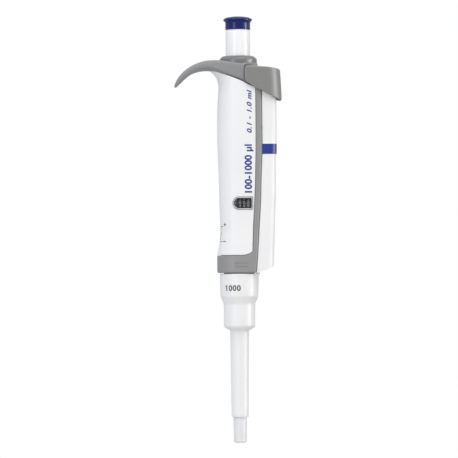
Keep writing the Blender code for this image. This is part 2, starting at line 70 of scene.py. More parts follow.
barrel_low, barrel_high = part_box("cylinder")
AXIS_X, AXIS_Y = (barrel_low.x + barrel_high.x) / 2, (barrel_low.y + barrel_high.y) / 2
FOOT_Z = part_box("tip_cone")[0].z
GAP = 0.3  # between outside pieces that lie against each other
SHELL_WALL = 1.15
ARM_GAP = 0.26
SWELL_X = 13.0  # the colour band stands proud of the arm to the right of this

def place(x, y, z):
    """A point of the pipette's own axes (mm) in the frame (m)."""
    return Vector((AXIS_X + x * MM, AXIS_Y + y * MM, FOOT_Z + z * MM))


def own(vector):
    """The pipette's own coordinates (mm) of a point in the frame (m)."""
    return (vector[0] - AXIS_X) / MM, (vector[1] - AXIS_Y) / MM, (vector[2] - FOOT_Z) / MM


# ---------------------------------------------------------------- tables and small geometry

# (z, x) of the shell's left edge, (z, half width) of the shell, (z, x) of the grey strip's edges and of the arm's edge,
# and (x, z) of the finger rest's underside
SHELL_LEFT = [(104.0, -12.6), (108.7, -12.5), (110.7, -12.0), (113.5, -11.45), (116.4, -11.1), (122.2, -10.75),
              (133.7, -11.1), (150.9, -11.45), (173.9, -12.15), (191.2, -12.05), (202.0, -11.4), (205.6, -11.4),
              (208.5, -12.1), (211.0, -13.4), (213.4, -16.0), (214.5, -17.6)]
SHELL_DEPTH = [(97.0, 11.7), (108.7, 11.6), (122.2, 10.8), (133.7, 11.0), (150.9, 11.3), (173.9, 11.7),
               (191.2, 11.7), (205.6, 11.4), (214.0, 11.4)]
STRIP_LEFT = [(97.0, 7.1), (110.0, 7.5), (116.4, 7.7), (128.0, 8.2), (139.0, 8.8), (151.0, 9.35), (175.0, 9.7),
              (216.0, 9.7)]
STRIP_RIGHT = [(97.0, 9.2), (103.8, 9.8), (116.4, 10.7), (128.0, 11.4), (139.0, 12.1), (151.0, 12.4), (168.0, 13.0),
               (216.0, 12.9)]
ARM_RIGHT = [(97.0, 19.8), (103.8, 20.0), (122.0, 20.5), (140.0, 21.1), (160.0, 21.2), (168.0, 21.7), (197.0, 21.7),
             (216.0, 21.7)]
REST_UNDER = [(-17.6, 214.0), (-14.9, 213.6), (-9.1, 211.9), (-4.5, 210.2), (1.2, 207.9), (4.7, 206.1), (7.0, 205.0),
              (9.3, 204.2), (12.0, 203.2)]


def smooth(table, t):
    """A smooth curve through the (t, value) rows, flat beyond its ends."""
    if t <= table[0][0]:
        return table[0][1]
    if t >= table[-1][0]:
        return table[-1][1]
    i = max(k for k in range(len(table) - 1) if table[k][0] <= t)

    def slope(k):
        a, b = table[max(k - 1, 0)], table[min(k + 1, len(table) - 1)]
        return (b[1] - a[1]) / (b[0] - a[0])

    (t0, v0), (t1, v1) = table[i], table[i + 1]
    h = t1 - t0
    s = (t - t0) / h
    return ((2 * s ** 3 - 3 * s ** 2 + 1) * v0 + (s ** 3 - 2 * s ** 2 + s) * h * slope(i)
            + (3 * s ** 2 - 2 * s ** 3) * v1 + (s ** 3 - s ** 2) * h * slope(i + 1))


def filleted(corners, segments=6):
    """A closed outline whose (u, v, radius) corners are rounded."""
    points = []
    for i, (u, v, r) in enumerate(corners):
        here = Vector((u, v))
        if r <= 0:
            points.append((u, v))
            continue
        before = (Vector(corners[i - 1][:2]) - here)
        after = (Vector(corners[(i + 1) % len(corners)][:2]) - here)
        half = before.angle(after) / 2
        reach = min(r / math.tan(half), before.length * 0.49, after.length * 0.49)
        r = reach * math.tan(half)
        centre = here + (before.normalized() + after.normalized()).normalized() * (r / math.sin(half))
        start, end = here + before.normalized() * reach - centre, here + after.normalized() * reach - centre
        sweep = start.angle_signed(end)
        for k in range(segments + 1):
            angle = -sweep * k / segments
            points.append((centre.x + start.x * math.cos(angle) - start.y * math.sin(angle),
                           centre.y + start.x * math.sin(angle) + start.y * math.cos(angle)))
    return points


def finish(name, bm, body=None, replaces=(), slot=None, look=None, sharp=38):
    """Makes a piece from a mesh in the pipette's own mm and gives it to a body."""
    bmesh.ops.recalc_face_normals(bm, faces=bm.faces)
    mesh = bpy.data.meshes.new(name)
    bmesh.ops.transform(bm, matrix=Matrix.Translation(place(0, 0, 0)) @ Matrix.Scale(MM, 4), verts=bm.verts)
    bm.to_mesh(mesh)
    bm.free()
    mesh.shade_smooth()
    mesh.set_sharp_from_angle(angle=math.radians(sharp))
    obj = bpy.data.objects.new(name, mesh)
    scene.collection.objects.link(obj)
    if look:
        mesh.materials.append(look)
    if body:
        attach(obj, body)
        if replaces:
            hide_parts(*replaces)
    return obj


def turned(name, corners, steps=96, segments=6, bm=None, shift=(0, 0), **to):
    """A filleted closed (r, z, fillet) profile turned about the plunger axis."""
    outline = filleted(corners, segments)
    bm = bm or bmesh.new()
    rings = []
    for k in range(steps):
        a = 2 * math.pi * k / steps
        rings.append([bm.verts.new((shift[0] + r * math.cos(a), shift[1] + r * math.sin(a), z)) for r, z in outline])
    for k in range(steps):
        one, two = rings[k], rings[(k + 1) % steps]
        for i in range(len(outline)):
            j = (i + 1) % len(outline)
            bm.faces.new((one[i], two[i], two[j], one[j]))
    return finish(name, bm, **to)


def grid(bm, rows, close_rows=False):
    """Quads through rows of points, each row of the same length."""
    verts = [[bm.verts.new(p) for p in row] for row in rows]
    count = len(verts[0])
    for low, high in zip(verts, verts[1:]):
        for i in range(count if close_rows else count - 1):
            j = (i + 1) % count
            bm.faces.new((low[i], low[j], high[j], high[i]))
    return verts


def modify(obj, kind, **values):
    mod = obj.modifiers.new(kind.lower(), kind)
    for key, value in values.items():
        setattr(mod, key, value)
    return mod


def applied(obj):
    """The object's modifiers made real."""
    graph = bpy.context.evaluated_depsgraph_get()
    mesh = bpy.data.meshes.new_from_object(obj.evaluated_get(graph))
    obj.modifiers.clear()
    obj.data = mesh
    return obj


def cut(obj, cutters, operation="DIFFERENCE"):
    for cutter in cutters:
        modify(obj, "BOOLEAN", operation=operation, object=cutter)
        bpy.context.view_layer.update()
        applied(obj)
        bpy.data.objects.remove(cutter)
    return obj


def prism(name, loop, low, high, turn="Z"):
    """A closed outline extruded along Z (x, y), along Y (x, z) or along X (y, z)."""
    bm = bmesh.new()
    point = {"Z": lambda u, v, w: (u, v, w), "Y": lambda u, v, w: (u, w, v), "X": lambda u, v, w: (w, u, v)}[turn]
    rows = grid(bm, [[point(u, v, w) for u, v in loop] for w in (low, high)], close_rows=True)
    bm.faces.new(rows[0])
    bm.faces.new(rows[1])
    return finish(name, bm)


def tube(name, radius, low, high, at=(0, 0), turn="Z", sides=64):
    loop = [(at[0] + radius * math.cos(2 * math.pi * k / sides), at[1] + radius * math.sin(2 * math.pi * k / sides))
            for k in range(sides)]
    return prism(name, loop, low, high, turn)


# ---------------------------------------------------------------- materials

GRAIN_SCALE = 2600.0


def shader_node(tree, kind, **values):
    """A new node; each value is one of its properties, or else the default of the input of that name."""
    node = tree.nodes.new("ShaderNode" + kind)
    for key, value in values.items():
        if hasattr(node, key):
            setattr(node, key, value)
        else:
            node.inputs[key.replace("_", " ")].default_value = value
    return node


class Nodes:
    """A material being built: add() makes a node, join() links output to input by name."""

    def __init__(self, name):
        self.material = bpy.data.materials.new(name)
        self.material.use_nodes = True
        self.tree = self.material.node_tree
        self.shader = self.tree.nodes["Principled BSDF"]

    def add(self, kind, **values):
        return shader_node(self.tree, kind, **values)

    def join(self, source, output, target, socket):
        self.tree.links.new(source.outputs[output], target.inputs[socket])


def plastic(name, colour, roughness=0.38, grain=0.012, spread=0.03, tint=None, subsurface=0.0, coat=0.0,
            specular=0.5, edges=0.0):
    """Moulded plastic: faint flow marks in the colour, uneven gloss, a fine moulded grain and, if edges is set, paler
    rims that are a painted highlight.
    """
    n = Nodes(name)
    place_in = n.add("TexCoord")
    flow = n.add("TexNoise", Scale=38.0, Detail=4.0, Roughness=0.55)
    grains = n.add("TexNoise", Scale=GRAIN_SCALE, Detail=2.0, Roughness=0.6)
    wear = n.add("TexNoise", Scale=310.0, Detail=5.0, Roughness=0.6)
    for noise in (flow, grains, wear):
        n.join(place_in, "Object", noise, "Vector")
    ramp = n.add("ValToRGB")
    low = [c * (1 - spread) for c in colour]
    high = [min(1, c * (1 + spread)) for c in (tint or colour)]
    ramp.color_ramp.elements[0].position, ramp.color_ramp.elements[1].position = 0.35, 0.65
    ramp.color_ramp.elements[0].color, ramp.color_ramp.elements[1].color = (*low, 1), (*high, 1)
    n.join(flow, "Fac", ramp, "Fac")
    if not edges:
        n.join(ramp, "Color", n.shader, "Base Color")
    else:
        # Painted highlight: where pointiness finds a rounded rim, the colour is made paler as if the rim caught the
        # light
        rim = n.add("MapRange", From_Min=0.508, From_Max=0.522, To_Min=1.0, To_Max=1.0 + edges)
        rim_highlight = n.add("VectorMath", operation="SCALE")
        n.join(n.add("NewGeometry"), "Pointiness", rim, "Value")
        n.join(ramp, "Color", rim_highlight, "Vector")
        n.join(rim, "Result", rim_highlight, "Scale")
        n.join(rim_highlight, "Vector", n.shader, "Base Color")
    gloss = n.add("MapRange", To_Min=roughness * 0.88, To_Max=roughness * 1.14)
    n.join(wear, "Fac", gloss, "Value")
    n.join(gloss, "Result", n.shader, "Roughness")
    bump = n.add("Bump", Strength=0.35, Distance=grain * MM)
    n.join(grains, "Fac", bump, "Height")
    n.join(bump, "Normal", n.shader, "Normal")
    n.shader.inputs["Subsurface Weight"].default_value = subsurface
    n.shader.inputs["Subsurface Radius"].default_value = (0.0012, 0.0012, 0.0014)
    n.shader.inputs["Subsurface Scale"].default_value = 1.0
    n.shader.inputs["Coat Weight"].default_value = coat
    n.shader.inputs["Coat Roughness"].default_value = 0.12
    n.shader.inputs["Specular IOR Level"].default_value = specular
    return n.material


def metal(name, colour, roughness=0.28, lines=900.0):
    """Turned metal: fine rings round the plunger axis in gloss and relief, with a little staining."""
    n = Nodes(name)
    place_in = n.add("TexCoord")
    rings = n.add("TexWave", wave_type="BANDS", bands_direction="Z", Scale=lines, Distortion=1.5, Detail=2.0)
    stain = n.add("TexNoise", Scale=220.0, Detail=4.0)
    n.join(place_in, "Object", rings, "Vector")
    n.join(place_in, "Object", stain, "Vector")
    ramp = n.add("ValToRGB")
    ramp.color_ramp.elements[0].color = (*[c * 0.82 for c in colour], 1)
    ramp.color_ramp.elements[1].color = (*colour, 1)
    n.join(stain, "Fac", ramp, "Fac")
    n.join(ramp, "Color", n.shader, "Base Color")
    gloss = n.add("MapRange", To_Min=roughness * 0.7, To_Max=roughness * 1.3)
    n.join(rings, "Fac", gloss, "Value")
    n.join(gloss, "Result", n.shader, "Roughness")
    bump = n.add("Bump", Strength=0.2, Distance=0.01 * MM)
    n.join(rings, "Fac", bump, "Height")
    n.join(bump, "Normal", n.shader, "Normal")
    n.shader.inputs["Metallic"].default_value = 1.0
    return n.material


WHITE = plastic("white_shell_plastic", (0.862, 0.860, 0.862), 0.42, tint=(0.868, 0.866, 0.864), spread=0.008,
                subsurface=0.08)
SLEEVE_WHITE = plastic("white_sleeve_plastic", (0.862, 0.860, 0.858), 0.36, spread=0.008, subsurface=0.12)
GREY = plastic("grey_plastic", (0.262, 0.263, 0.270), 0.44, spread=0.02, grain=0.02)
FRAME_GREY = plastic("frame_plastic", (0.286, 0.284, 0.282), 0.44, spread=0.02, grain=0.02)
# A darker copy of the grey plastic: the collar's darker tone is painted shade
SHADED_COLLAR_GREY = plastic("collar_painted_shade_grey", (0.160, 0.160, 0.163), 0.32, spread=0.03, grain=0.015, specular=0.8)
MOULD_MARK = plastic("moulded_mark", (0.19, 0.19, 0.19), 0.5, spread=0.05)
# The hood's edges value paints a highlight along its rounded rims
HOOD = plastic("hood_plastic", (0.212, 0.210, 0.204), 0.42, spread=0.02, grain=0.02, specular=0.7, edges=0.16)
NAVY = plastic("navy_cap_plastic", (0.004, 0.012, 0.120), 0.20, spread=0.05, grain=0.006, specular=0.34)
ROYAL = plastic("royal_band_plastic", (0.014, 0.034, 0.245), 0.34, spread=0.04, grain=0.008)
MILKY = plastic("milky_sleeve_plastic", (0.90, 0.90, 0.915), 0.24, spread=0.012, subsurface=0.2, grain=0.004)
CONE = plastic("cone_plastic", (0.80, 0.80, 0.81), 0.30, spread=0.01, subsurface=0.3)
FRAME_CLEAR = plastic("bezel_plastic", (0.74, 0.75, 0.76), 0.16, spread=0.01, subsurface=0.2, coat=0.4, grain=0.003)
ACETAL = plastic("acetal", (0.80, 0.80, 0.76), 0.45, spread=0.02)
NYLON = plastic("dark_nylon", (0.030, 0.030, 0.032), 0.5, spread=0.15)
RUBBER = plastic("seal_rubber", (0.018, 0.018, 0.018), 0.7, spread=0.2)
CERAMIC = plastic("piston_ceramic", (0.82, 0.82, 0.80), 0.12, spread=0.01, grain=0.002)
DRUM = plastic("drum_black", (0.014, 0.015, 0.017), 0.42, spread=0.2, grain=0.006)
DIGIT = plastic("digit_print", (0.62, 0.64, 0.66), 0.5, spread=0.06, grain=0.004)
BLUE_INK = plastic("blue_print", (0.010, 0.028, 0.255), 0.4, spread=0.08, grain=0.003)
GREY_INK = plastic("grey_print", (0.085, 0.082, 0.082), 0.5, spread=0.1, grain=0.003)
STEEL = metal("turned_steel", (0.62, 0.63, 0.64))
WIRE = metal("spring_wire", (0.50, 0.51, 0.53), 0.32, 1400.0)
BRASS = metal("turned_brass", (0.78, 0.60, 0.30))


def clear_plastic(name):
    n = Nodes(name)
    place_in = n.add("TexCoord")
    haze = n.add("TexNoise", Scale=420.0, Detail=3.0)
    n.join(place_in, "Object", haze, "Vector")
    gloss = n.add("MapRange", To_Min=0.015, To_Max=0.07)
    n.join(haze, "Fac", gloss, "Value")
    n.join(gloss, "Result", n.shader, "Roughness")
    n.shader.inputs["Base Color"].default_value = (0.93, 0.95, 0.96, 1)
    n.shader.inputs["Transmission Weight"].default_value = 1.0
    n.shader.inputs["IOR"].default_value = 1.45
    return n.material


LENS = clear_plastic("clear_polycarbonate")

slot_looks = {"white_shell": WHITE, "grey_plastic": GREY, "hood_grey": HOOD, "blue_plastic": ROYAL,
              "cloudy_plastic": CONE, "clear_lens": LENS, "digit_drum": DRUM, "steel": STEEL, "spring_steel": WIRE,
              "brass": BRASS, "acetal": ACETAL, "dark_plastic": NYLON, "seal_rubber": RUBBER,
              "piston_ceramic": CERAMIC}
for entry in frame["record"]["subparts"]:
    node = frame["nodes"][entry["node"]]
    node.data.materials.clear()
    node.data.materials.append(slot_looks[entry["material_slot"]])
    node.data.shade_smooth()
    node.data.set_sharp_from_angle(angle=math.radians(35))

# ---------------------------------------------------------------- front shell

BAND_TOP = [(-20.0, 107.5), (1.5, 107.5), (3.6, 107.8), (5.2, 108.3), (6.5, 108.95), (7.1, 109.6), (7.4, 110.4),
            (7.6, 111.5), (9.0, 112.0), (12.0, 112.0)]


def shell_point(u, z, inset=0.0):
    """Side -1..1 (u) round the shell's section at height z: u = 0 is the middle of the -X face."""
    left = smooth(SHELL_LEFT, z) + inset
    depth = smooth(SHELL_DEPTH, z) - inset
    right = smooth(STRIP_LEFT, z) - GAP
    side, s = (1 if u >= 0 else -1), abs(u)
    if s < 0.66:
        a = math.pi / 2 * s / 0.66
        return left * math.cos(a), side * depth * math.sin(a)
    t = (s - 0.66) / 0.34
    return right * t, side * depth * (1 - 0.035 * t * t)


def shell_ends(u):
    """The lowest and highest z of the shell at station u."""
    low = smooth(BAND_TOP, shell_point(u, 109)[0]) + GAP
    a, b = 195.0, 214.2
    for _ in range(40):
        mid = (a + b) / 2
        if mid < smooth(REST_UNDER, shell_point(u, mid)[0]) - GAP:
            a = mid
        else:
            b = mid
    return low, a


SHELL_ACROSS, SHELL_UP = 110, 130
stations = [-1 + 2 * k / SHELL_ACROSS for k in range(SHELL_ACROSS + 1)]
ends = [shell_ends(u) for u in stations]
bm = bmesh.new()
rows = []
for k in range(SHELL_UP + 1):
    t = k / SHELL_UP
    row = []
    for u, (low, high) in zip(stations, ends):
        z = low + (high - low) * t
        x, y = shell_point(u, z)
        row.append((x, y, z))
    rows.append(row)
grid(bm, rows)
shell = finish("shell_skin", bm, look=WHITE)
front = min(shell.data.polygons, key=lambda face: face.center.x)
modify(shell, "SOLIDIFY", thickness=SHELL_WALL * MM, offset=-1.0 if front.normal.x < 0 else 1.0, use_even_offset=True)
applied(shell)

WINDOW_Z = 137.45


def window_loop(left, right, half, corner=0.8):
    """The display's outline: half-round toward -X, with small corners toward the ejector."""
    return filleted([(left, WINDOW_Z - half, half * 0.98), (right, WINDOW_Z - half, corner),
                     (right, WINDOW_Z + half, corner), (left, WINDOW_Z + half, half * 0.98)], 12)


BEZEL_LOOP, GLASS_LOOP = window_loop(-3.6, 7.45, 3.42), window_loop(-3.2, 7.0, 3.0, 0.5)
cut(shell, [prism("window_cutter", window_loop(-3.95, 7.8, 3.75), -16, -6, "Y")])
modify(shell, "BEVEL", width=0.28 * MM, segments=2, limit_method="ANGLE", angle_limit=math.radians(50),
       use_clamp_overlap=True)
applied(shell)
shell.data.shade_smooth()
shell.data.set_sharp_from_angle(angle=math.radians(40))
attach(shell, "housing")
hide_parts("front_shell")


def shell_depth_at(x, z):
    """Distance of the shell's -Y face from the plunger axis plane at (x, z)."""
    if x < 0:
        left = smooth(SHELL_LEFT, z)
        return smooth(SHELL_DEPTH, z) * math.sqrt(max(0.0, 1 - (x / left) ** 2))
    t = x / (smooth(STRIP_LEFT, z) - GAP)
    return smooth(SHELL_DEPTH, z) * (1 - 0.035 * t * t)


# ---------------------------------------------------------------- rear frame and lower band


def channel(left, right, depth, wall, corner, segments=8):
    """One ring of a U-shaped wall, open toward -X, with rounded rear corners and rounded lips."""
    outer = [(left, -depth, 0.35), (right, -depth, corner), (right, depth, corner), (left, depth, 0.35)]
    inner = [(left, depth - wall, 0.35), (right - wall, depth - wall, max(0.3, corner - wall * 0.6)),
             (right - wall, -depth + wall, max(0.3, corner - wall * 0.6)), (left, -depth + wall, 0.35)]
    return filleted(outer + inner, segments)


def side_depth(x, z):
    """Half width of the housing at (x, z) behind the plunger axis: the shell's sides run on into the rear frame's."""
    share = min(1.0, max(0.0, (z - 109.0) / 11.0))
    depth = 11.75 + (smooth(SHELL_DEPTH, z) - 11.75) * share * share * (3 - 2 * share)
    return depth * (1 - 0.035 * (x / (smooth(STRIP_LEFT, z) - GAP)) ** 2)


FRAME_FOOT_Z, FRAME_RINGS, CHANNEL_HALF = 98.4, 107, 10.0
bm = bmesh.new()
rings = []
for k in range(FRAME_RINGS):
    z = FRAME_FOOT_Z + k
    ring = channel(smooth(STRIP_LEFT, z), smooth(STRIP_RIGHT, z), CHANNEL_HALF, 1.5, 1.0)
    rings.append([(x, y * (side_depth(x, z) - 0.02) / CHANNEL_HALF, z) for x, y in ring])
rows = grid(bm, rings, close_rows=True)
bm.faces.new(rows[0])
bm.faces.new(rows[-1])
finish("rear_frame", bm, "housing", ["handle_frame"], "grey_plastic", FRAME_GREY)
lug = prism("spring_lug", filleted([(12.0, -2.6, 0), (19.6, -2.6, 1), (19.6, 2.6, 1), (12.0, 2.6, 0)]), 180, 182)
lug.data.materials.append(GREY)
cut(lug, [tube("lug_hole", 1.5, 170, 190, at=(17, 0))])
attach(lug, "housing")
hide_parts("handle_frame")


def band_outline(z, grow=0.0):
    """The lower band's outline: round toward -X, then straight back to the rear frame's corners."""
    right = smooth(STRIP_RIGHT, z) + 0.2 * grow
    points = []
    for k in range(61):
        a = math.pi / 2 + math.pi * k / 60
        points.append(((12.65 + grow) * math.cos(a), (side_depth(0, z) + grow) * math.sin(a)))
    side = [right * t for t in (0.08, 0.16, 0.25, 0.34, 0.43, 0.52, 0.6, 0.68, 0.74, 0.8)]
    low = [(x, -side_depth(x, z) - grow) for x in side]
    turn = filleted([(right * 0.7, -side_depth(right * 0.7, z) - grow, 0), (right, -side_depth(right, z) - grow, 1.0),
                     (right, side_depth(right, z) + grow, 1.0), (right * 0.7, side_depth(right * 0.7, z) + grow, 0)],
                    8)[1:-1]
    half = len(turn) // 2
    back = [(right, turn[half][1] * t) for t in (-0.85, -0.7, -0.55, -0.4, -0.2, 0, 0.2, 0.4, 0.55, 0.7, 0.85)]
    return points + low + turn[:half] + back + turn[half:] + [(x, -y) for x, y in reversed(low)]


BAND_STRAIGHT_Z, BAND_ROWS = 98.6, 16
bm = bmesh.new()
rows = []
for z, grow in ((97.5, -1.4), (97.52, -0.9), (97.62, -0.5), (97.85, -0.2), (98.2, -0.04), (BAND_STRAIGHT_Z, 0.0)):
    rows.append([(x, y, z) for x, y in band_outline(z, grow)])
base = band_outline(106)
for k in range(1, BAND_ROWS + 1):
    row = []
    for i, (x, _) in enumerate(base):
        z = BAND_STRAIGHT_Z + (smooth(BAND_TOP, x) - 0.25 - BAND_STRAIGHT_Z) * k / BAND_ROWS
        row.append((*band_outline(z)[i], z))
    rows.append(row)
for grow, drop in ((-0.07, 0.08), (-0.25, 0.0), (-1.4, 0.0)):
    row = []
    for i, (x, _) in enumerate(base):
        share = min(1.0, max(0.0, (8.0 - x) / 0.8))
        z = smooth(BAND_TOP, x) - drop
        row.append((*band_outline(z, grow * share if grow > -1 else grow)[i], z))
    rows.append(row)
angles = [math.atan2(y, x) for x, y in base]
for z in (107.8, 97.5):
    rows.append([((9.3 if math.cos(a) < 0 else 8.9) * math.cos(a), 9.3 * math.sin(a), z) for a in angles])
grid(bm, rows + [rows[0]], close_rows=True)
bmesh.ops.remove_doubles(bm, verts=bm.verts, dist=1e-5)
finish("lower_band", bm, "housing", ["handle_frame"], "grey_plastic", FRAME_GREY)

# Two rows of plain raised dashes on the band
bm = bmesh.new()
for z, count in ((103.2, 6), (101.1, 7)):
    for k in range(count):
        x = -2.4 + 6.6 * k / (count - 1)
        made = bmesh.ops.create_cube(bm, size=1.0)
        for v in made["verts"]:
            v.co = Vector((x + 0.55 * v.co.x, -side_depth(x, z) + 0.12 * v.co.y, z + 0.7 * v.co.z))
finish("moulded_marks", bm, "housing", (), "grey_plastic", MOULD_MARK)

# ---------------------------------------------------------------- finger rest and collar

# (top x, top z, bottom x, bottom z, half width), from under the hood to the hook's tip
REST_STATIONS = [
    (10.9, 217.6, 10.9, 204.0, 10.6), (9.0, 217.9, 9.0, 204.3, 11.3), (4.7, 218.3, 4.7, 206.1, 11.45),
    (1.2, 218.5, 1.2, 207.9, 11.45), (-4.5, 218.9, -4.5, 210.2, 11.3), (-9.1, 219.4, -9.1, 211.9, 10.95),
    (-14.2, 219.75, -14.6, 213.5, 10.2), (-18.9, 219.45, -19.2, 213.8, 9.5), (-24.0, 217.95, -23.6, 213.1, 9.0),
    (-28.6, 215.55, -27.4, 211.6, 8.6), (-32.1, 212.7, -30.6, 209.1, 8.2), (-34.9, 209.3, -33.3, 206.5, 7.7),
    (-36.3, 206.5, -35.0, 204.9, 7.2), (-36.7, 205.2, -35.8, 204.3, 6.6)]


def rest_station(t):
    return [smooth([(i, row[c]) for i, row in enumerate(REST_STATIONS)], t) for c in range(5)]


REST_RINGS, REST_SIDES = 90, 72
bm = bmesh.new()
rings = []
for k in range(REST_RINGS + 1):
    t = (len(REST_STATIONS) - 1) * k / REST_RINGS
    tx, tz, bx, bz, width = rest_station(t)
    body_share = min(1.0, max(0.0, (6.5 - t) / 2.5))
    power = 3.2 + 5.0 * body_share  # the section is squarer over the handle than in the hook
    ring = []
    for i in range(REST_SIDES):
        a = 2 * math.pi * i / REST_SIDES
        c, s = math.cos(a), math.sin(a)
        scale = (abs(c) ** power + abs(s) ** power) ** (-1 / power)
        y, h = width * c * scale, s * scale
        mx, mz = (tx + bx) / 2, (tz + bz) / 2
        ring.append((mx + (tx - bx) / 2 * h, y, mz + (tz - bz) / 2 * h))
    rings.append(ring)
tip = rings[-1]
centre = Vector((sum(p[0] for p in tip) / len(tip), 0, sum(p[2] for p in tip) / len(tip)))
for shrink, reach in ((0.8, 0.16), (0.45, 0.28)):
    rings.append([tuple(centre + (Vector(p) - centre) * shrink + Vector((-0.35, 0, -0.8)) * reach) for p in tip])
rows = grid(bm, rings, close_rows=True)
bm.faces.new(rows[0])
bm.faces.new(rows[-1])
rest = finish("finger_rest_skin", bm, look=GREY)
for side in (-1, 1):
    cut(rest, [prism("hood_recess", filleted([(2.9, 217.2, 2.0), (14.0, 217.2, 0), (14.0, 190.0, 0), (2.9, 190.0, 0)],
                                             8), side * 10.55, side * 16.0, "Y")])
cut(rest, [tube("guide_bore", 8.95, 190, 225), tube("collar_bore", 11.1, 216.6, 225, at=(0.15, 0), sides=128)])
rest.data.shade_smooth()
rest.data.set_sharp_from_angle(angle=math.radians(50))
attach(rest, "housing")
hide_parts("finger_rest")

# The collar wears the darker copy of the grey plastic, which paints its shade
turned("collar_skin", [(7.3, 222.15, 0.5), (8.9, 222.15, 2.2), (10.75, 220.5, 2.1), (10.75, 216.9, 0.4),
                       (9.2, 216.9, 0.3), (7.3, 217.0, 0.2)], steps=128, segments=12, shift=(0.15, 0),
       body="housing", replaces=["top_collar"], slot="grey_plastic", look=SHADED_COLLAR_GREY)

# ---------------------------------------------------------------- control button

turned("button_cap_skin", [(0.02, 244.98, 0), (3.6, 244.9, 2.0), (6.3, 244.45, 2.0), (7.5, 244.0, 0.8),
                           (8.3, 243.3, 0.55), (8.28, 242.7, 0.4), (7.6, 242.1, 0.7), (7.15, 241.2, 0.8),
                           (7.2, 237.5, 0.18), (6.25, 237.5, 0.1), (6.25, 241.0, 0.2), (0.02, 241.0, 0)],
       steps=128, body="volume_knob", replaces=["control_button_cap"], slot="blue_plastic", look=NAVY)

turned("button_sleeve_skin", [(2.3, 240.7, 0.1), (5.9, 240.7, 0.2), (5.9, 237.3, 0.1), (6.95, 237.3, 0.25),
                              (7.0, 222.0, 0), (7.0, 206.0, 0.4), (5.4, 206.0, 0.3), (5.4, 234.0, 0.4),
                              (2.3, 234.0, 0.1)], steps=128, body="volume_knob",
       replaces=["control_button_sleeve"], slot="cloudy_plastic", look=MILKY)

# ---------------------------------------------------------------- ejector: button, arm, band, sleeve

HOOD_SIDE = [(3.3, 215.9, 1.8), (11.5, 215.8, 6.0), (17.2, 215.4, 6.0), (24.9, 214.3, 1.4), (24.9, 196.2, 0.5),
             (19.4, 198.6, 8.0), (13.7, 201.5, 8.0), (8.2, 204.3, 5.0), (3.3, 207.6, 3.2)]
HOOD_END, HOOD_HALF, HOLLOW_END, HOLLOW_HALF, HOOD_CORNER = 24.9, 13.2, 23.7, 12.1, 9.4
hood = prism("ejector_button_skin", filleted(HOOD_SIDE, 8), -HOOD_HALF, HOOD_HALF, "Y")
hood.data.materials.append(HOOD)
hood_plan = filleted([(0, -HOOD_HALF, 0), (HOOD_END, -HOOD_HALF, HOOD_CORNER), (HOOD_END, HOOD_HALF, HOOD_CORNER),
                      (0, HOOD_HALF, 0)], 20)
cut(hood, [prism("hood_plan", hood_plan, 190, 225)], "INTERSECT")
modify(hood, "BEVEL", width=0.85 * MM, segments=4, limit_method="ANGLE", angle_limit=math.radians(50))
applied(hood)
# Voxels and smoothing round all its edges alike; then the top leans toward the plunger
modify(hood, "REMESH", mode="VOXEL", voxel_size=0.27 * MM, use_smooth_shade=True)
modify(hood, "SMOOTH", factor=0.5, iterations=10)
applied(hood)
for vertex in hood.data.vertices:
    x, _, z = own(vertex.co)
    lean = 0.9 * min(1.0, max(0.0, (z - 196.0) / 18.0)) ** 1.5
    vertex.co.x -= lean * min(1.0, max(0.0, (x - 8.0) / 16.0)) * MM
inner_side = [(0.0, 190.0, 0), (0.0, 213.2, 0), (11.4, 213.2, 0), (22.8, 211.2, 2.0), (HOLLOW_END, 190.0, 0)]
hollow = prism("hood_hollow", filleted(inner_side, 5), -HOLLOW_HALF, HOLLOW_HALF, "Y")
inner_plan = filleted([(-3, -HOLLOW_HALF, 0), (HOLLOW_END, -HOLLOW_HALF, HOOD_CORNER),
                       (HOLLOW_END, HOLLOW_HALF, HOOD_CORNER), (-3, HOLLOW_HALF, 0)], 20)
cut(hollow, [prism("hollow_plan", inner_plan, 180, 230)], "INTERSECT")
notch = prism("hood_notch", [(-3, -HOLLOW_HALF), (11.4, -HOLLOW_HALF), (11.4, HOLLOW_HALF), (-3, HOLLOW_HALF)], 185,
              230)
cut(hood, [hollow, notch])
hood.data.shade_smooth()
hood.data.set_sharp_from_angle(angle=math.radians(50))
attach(hood, "ejector")
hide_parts("ejector_button")

ARM_BOTTOM = [(8.0, 97.0), (9.6, 97.45), (13.0, 98.4), (17.0, 99.8), (18.8, 100.6), (19.6, 101.6), (19.95, 102.8),
              (22.0, 103.0)]
ARM_DEPTH = 9.8


def arm_wall(name, low, high, bottom, wall, grow, look, slot, node):
    """A U-shaped wall along the arm's outline from bottom(x) to high, pushed outward by grow."""
    bm = bmesh.new()
    rings = []
    steps = 80 if high - low > 20 else 8
    for k in range(steps + 1):
        t = k / steps
        z = low + (high - low) * t
        row = []
        for x, y in channel(smooth(STRIP_RIGHT, z) + ARM_GAP, smooth(ARM_RIGHT, z), ARM_DEPTH, wall, 5.2, 12):
            foot = bottom(x)
            row.append((x + (grow if x > SWELL_X else 0), y * (1 + grow / ARM_DEPTH), foot + (high - foot) * t))
        rings.append(row)
    rows = grid(bm, rings, close_rows=True)
    bm.faces.new(rows[0])
    bm.faces.new(rows[-1])
    finish(name, bm, "ejector", [node], slot, look)


arm_wall("ejector_arm_skin", 98.0, 211.0, lambda x: smooth(ARM_BOTTOM, x), 1.3, 0.0, WHITE, "white_shell",
         "ejector_arm")
arm_wall("volume_band_skin", 165.55, 171.4, lambda x: 165.55, 0.6, 0.06, ROYAL, "blue_plastic", "volume_band")

